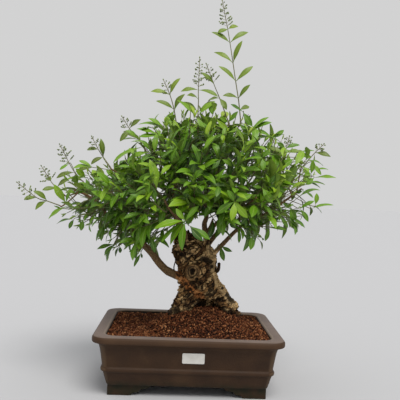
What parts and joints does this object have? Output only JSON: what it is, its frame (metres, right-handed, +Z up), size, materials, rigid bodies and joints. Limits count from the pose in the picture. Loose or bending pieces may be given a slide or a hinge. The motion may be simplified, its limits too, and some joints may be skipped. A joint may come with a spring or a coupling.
{
  "type": "common privet bonsai",
  "caption": "Common privet bonsai: old arched trunk, domed crown of leafy and flowering shoots, in an unglazed brown rectangular pot of red-brown granular soil.",
  "frame": {"origin": "on the ground under the middle of the whole plant's bounding box; the pot's middle lies 32 mm to the right of it (+X) and 4 mm behind it (+Y)", "axes": "+Z up; +X to the right along the pot's long side, seen from the front, where the label is; +Y from the front to the back"},
  "size_m": [0.5436, 0.3476, 0.6741],
  "materials": {
    "clay": "unglazed, matt with a dull sheen on the lip",
    "soil": "loose fired-clay granules, matt",
    "bark": "rough chunky bark on the trunk, smooth bark on the branches",
    "leaf": "waxy leaf, satin",
    "flowering_shoot": "young leaf and flower bud, satin",
    "mesh_plastic": "moulded drainage mesh",
    "label": "plain paper sticker"
  },
  "bodies": {
    "root": {"pot": "clay", "soil": "soil", "wood": "bark", "drainage_mesh_left": "mesh_plastic", "drainage_mesh_right": "mesh_plastic", "blank_label": "label", "flowering_shoot_01": "flowering_shoot", "flowering_shoot_02": "flowering_shoot", "flowering_shoot_03": "flowering_shoot", "flowering_shoot_04": "flowering_shoot", "flowering_shoot_05": "flowering_shoot", "flowering_shoot_06": "flowering_shoot", "flowering_shoot_07": "flowering_shoot", "flowering_shoot_08": "flowering_shoot", "flowering_shoot_09": "flowering_shoot", "flowering_shoot_10": "flowering_shoot", "flowering_shoot_11": "flowering_shoot", "leafy_shoot_01": "leaf", "leafy_shoot_02": "leaf", "leafy_shoot_03": "leaf", "leafy_shoot_04": "leaf", "leafy_shoot_05": "leaf", "leafy_shoot_06": "leaf", "leafy_shoot_07": "leaf", "leafy_shoot_08": "leaf", "leafy_shoot_09": "leaf", "leafy_shoot_10": "leaf", "leafy_shoot_11": "leaf", "leafy_shoot_12": "leaf", "leafy_shoot_13": "leaf", "leafy_shoot_14": "leaf", "leafy_shoot_15": "leaf", "leafy_shoot_16": "leaf", "leafy_shoot_17": "leaf", "leafy_shoot_18": "leaf", "leafy_shoot_19": "leaf", "leafy_shoot_20": "leaf", "leafy_shoot_21": "leaf", "leafy_shoot_22": "leaf", "leafy_shoot_23": "leaf", "leafy_shoot_24": "leaf", "leafy_shoot_25": "leaf", "leafy_shoot_26": "leaf", "leafy_shoot_27": "leaf", "leafy_shoot_28": "leaf", "leafy_shoot_29": "leaf", "leafy_shoot_30": "leaf", "leafy_shoot_31": "leaf", "leafy_shoot_32": "leaf", "leafy_shoot_33": "leaf"}
  },
  "joints": []
}
